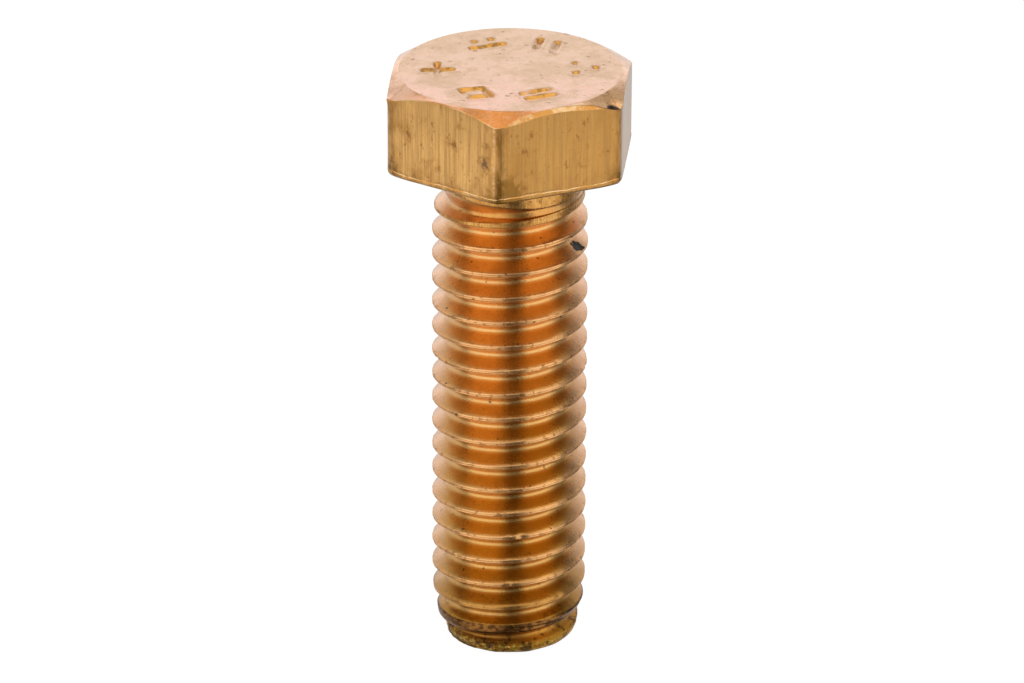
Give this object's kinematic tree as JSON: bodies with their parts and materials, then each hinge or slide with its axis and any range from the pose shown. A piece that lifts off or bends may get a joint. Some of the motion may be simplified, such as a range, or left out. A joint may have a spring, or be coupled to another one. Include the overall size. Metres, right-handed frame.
{
  "type": "hex bolt",
  "caption": "Bronze hex head bolt with a chamfered head and a coarse right-hand thread that runs right up to the head; clamps hull fittings and other boat hardware.",
  "frame": {"origin": "centre of the bearing face under the head, on the bolt's axis", "axes": "+Z along the bolt's axis, up through the head, with the shank along -Z; two flats of the head face +X and -X"},
  "size_m": [0.0142, 0.016, 0.0374],
  "materials": {
    "silicon_bronze": "satin rolled and forged bronze, light tarnish"
  },
  "bodies": {
    "root": {"hex_bolt": "silicon_bronze"}
  },
  "joints": []
}
